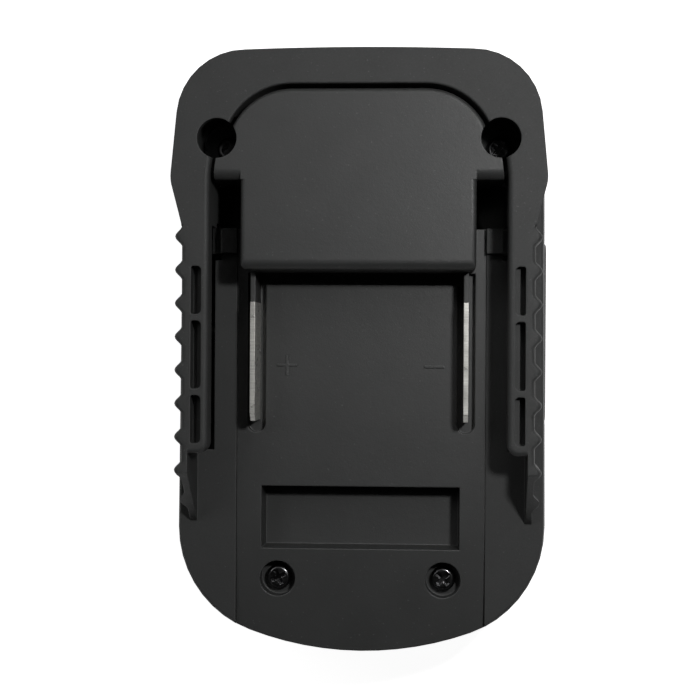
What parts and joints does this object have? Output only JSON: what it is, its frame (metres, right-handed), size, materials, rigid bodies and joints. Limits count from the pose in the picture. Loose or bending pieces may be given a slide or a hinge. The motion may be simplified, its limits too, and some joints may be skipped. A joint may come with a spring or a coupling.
{
  "type": "tool battery adapter",
  "caption": "Adapter that slides onto a power tool's battery foot and takes a slide-on battery pack, with blade contacts, rails, a latch recess and sprung side release buttons.",
  "frame": {"origin": "Centre of the bounding box's bottom face, on the tool side.", "axes": "+Z points out of the battery side, +Y to the nose with the raised block, +X to the right as seen from the battery side."},
  "size_m": [0.0772, 0.1236, 0.046],
  "materials": {
    "frame_plastic": "fine spark texture",
    "plate_plastic": "fine spark texture",
    "shell_plastic": "smooth satin",
    "button_plastic": "smooth satin",
    "holder_plastic": "plain",
    "blade_metal": "nickel plated",
    "fork_metal": "bare",
    "red_insulation": "silicone",
    "black_insulation": "silicone",
    "board": "solder mask",
    "resistor": "coated",
    "zinc_steel": "zinc plated",
    "spring_steel": "drawn wire",
    "black_steel": "black oxide"
  },
  "bodies": {
    "housing": {"outer_frame": "frame_plastic", "terminal_plate": "plate_plastic", "rear_shell": "shell_plastic", "positive_blade": "blade_metal", "negative_blade": "blade_metal", "positive_lead": "red_insulation", "negative_lead": "black_insulation", "positive_fork": "fork_metal", "negative_fork": "fork_metal", "signal_fork": "fork_metal", "fork_holder": "holder_plastic", "holder_screws": "zinc_steel", "id_board": "board", "id_resistor": "resistor", "left_latch_spring": "spring_steel", "right_latch_spring": "spring_steel", "upper_screws": "black_steel", "lower_screws": "black_steel"},
    "left_button": {"left_latch": "button_plastic"},
    "right_button": {"right_latch": "button_plastic"}
  },
  "joints": [
    {"name": "left_release_slide", "type": "slide", "parent": "housing", "child": "left_button", "axis": [1, 0, 0], "range_m": [0, 0.0036], "stiffness_N_per_m": 400, "springref_m": -0.002, "deforming": ["left_latch_spring"]},
    {"name": "right_release_slide", "type": "slide", "parent": "housing", "child": "right_button", "axis": [-1, 0, 0], "range_m": [0, 0.0036], "stiffness_N_per_m": 400, "springref_m": -0.002, "deforming": ["right_latch_spring"]}
  ]
}
